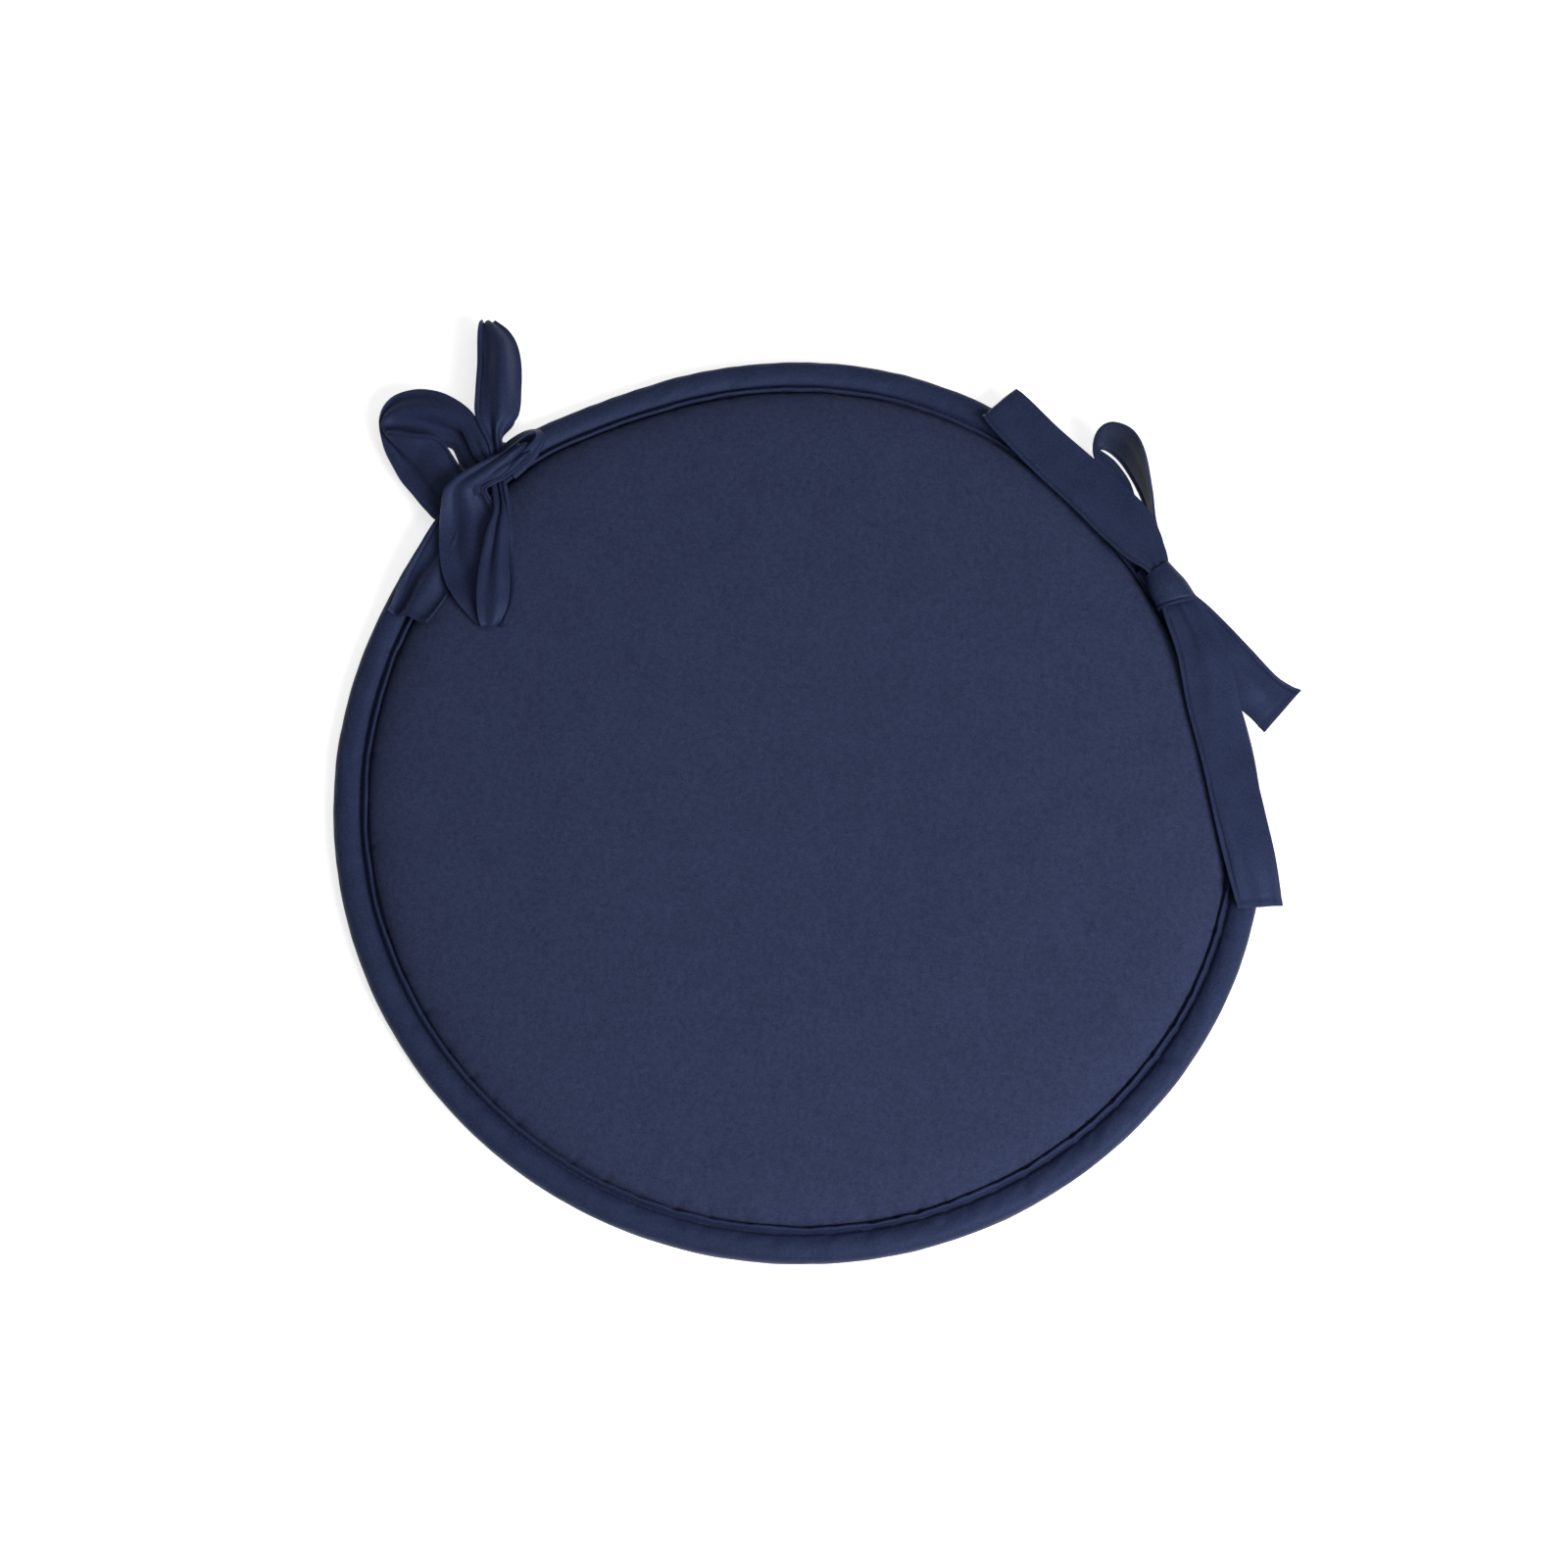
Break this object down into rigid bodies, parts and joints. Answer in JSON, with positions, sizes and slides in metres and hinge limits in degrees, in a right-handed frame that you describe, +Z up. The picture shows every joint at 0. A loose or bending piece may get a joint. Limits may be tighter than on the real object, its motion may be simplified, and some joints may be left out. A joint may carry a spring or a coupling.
{
  "type": "round seat cushion",
  "caption": "Thin round foam seat pad in navy cloth with a bound, stitched edge and fabric ties tied in bows at the back.",
  "frame": {"origin": "centre of the flat underside, where the pad rests on a seat", "axes": "+Z up out of the sitting face; +Y towards the back edge, midway between the two pairs of ties; +X to the sitter's left as they face -Y, which is the right-hand tie seen from above with the back edge at the top"},
  "size_m": [0.4167, 0.3994, 0.0268],
  "materials": {
    "cover_cloth": "matte brushed plain weave, navy",
    "underside_cloth": "matte brushed plain weave, navy, as the face",
    "binding_cloth": "bias-cut navy binding, slight sheen",
    "tie_tape": "folded and edge-stitched navy tape, slight sheen",
    "thread": "navy polyester sewing thread",
    "foam": "soft open-cell foam, pale grey, never seen"
  },
  "bodies": {
    "pad": {"foam_pad": "foam", "top_cover": "cover_cloth", "bottom_cover": "underside_cloth", "edge_binding": "binding_cloth", "binding_top_stitching": "thread", "binding_bottom_stitching": "thread", "left_tie_root": "tie_tape", "left_tie_bar_tack": "thread", "left_tie_knot": "tie_tape", "left_tie_small_loop": "tie_tape", "right_tie_root": "tie_tape", "right_tie_bar_tack": "thread", "right_tie_knot": "tie_tape"},
    "right_tie_loops": {"right_tie_long_loop": "tie_tape", "right_tie_small_loop": "tie_tape"},
    "right_tie_tails": {"right_tie_upper_tail": "tie_tape", "right_tie_lower_tail": "tie_tape"},
    "left_tie_loops": {"left_tie_top_loop": "tie_tape", "left_tie_side_loop": "tie_tape"},
    "left_tie_tails": {"left_tie_lower_loop": "tie_tape", "left_tie_tail": "tie_tape"}
  },
  "joints": [
    {"name": "right_tie_loops_lift", "type": "hinge", "parent": "pad", "child": "right_tie_loops", "pos_m": [0.13735, 0.12256, 0.02], "axis": [0.766, 0.6428, 0], "range_deg": [0, 75]},
    {"name": "right_tie_tails_lift", "type": "hinge", "parent": "pad", "child": "right_tie_tails", "pos_m": [0.1499, 0.1046, 0.0196], "axis": [-0.8801, -0.4749, 0], "range_deg": [0, 75]},
    {"name": "left_tie_loops_lift", "type": "hinge", "parent": "pad", "child": "left_tie_loops", "pos_m": [-0.15934, 0.1337, 0.0215], "axis": [0.6428, 0.766, 0], "range_deg": [0, 75]},
    {"name": "left_tie_tails_lift", "type": "hinge", "parent": "pad", "child": "left_tie_tails", "pos_m": [-0.1525, 0.11229, 0.022], "axis": [-0.9985, 0.0546, 0], "range_deg": [0, 75]}
  ]
}
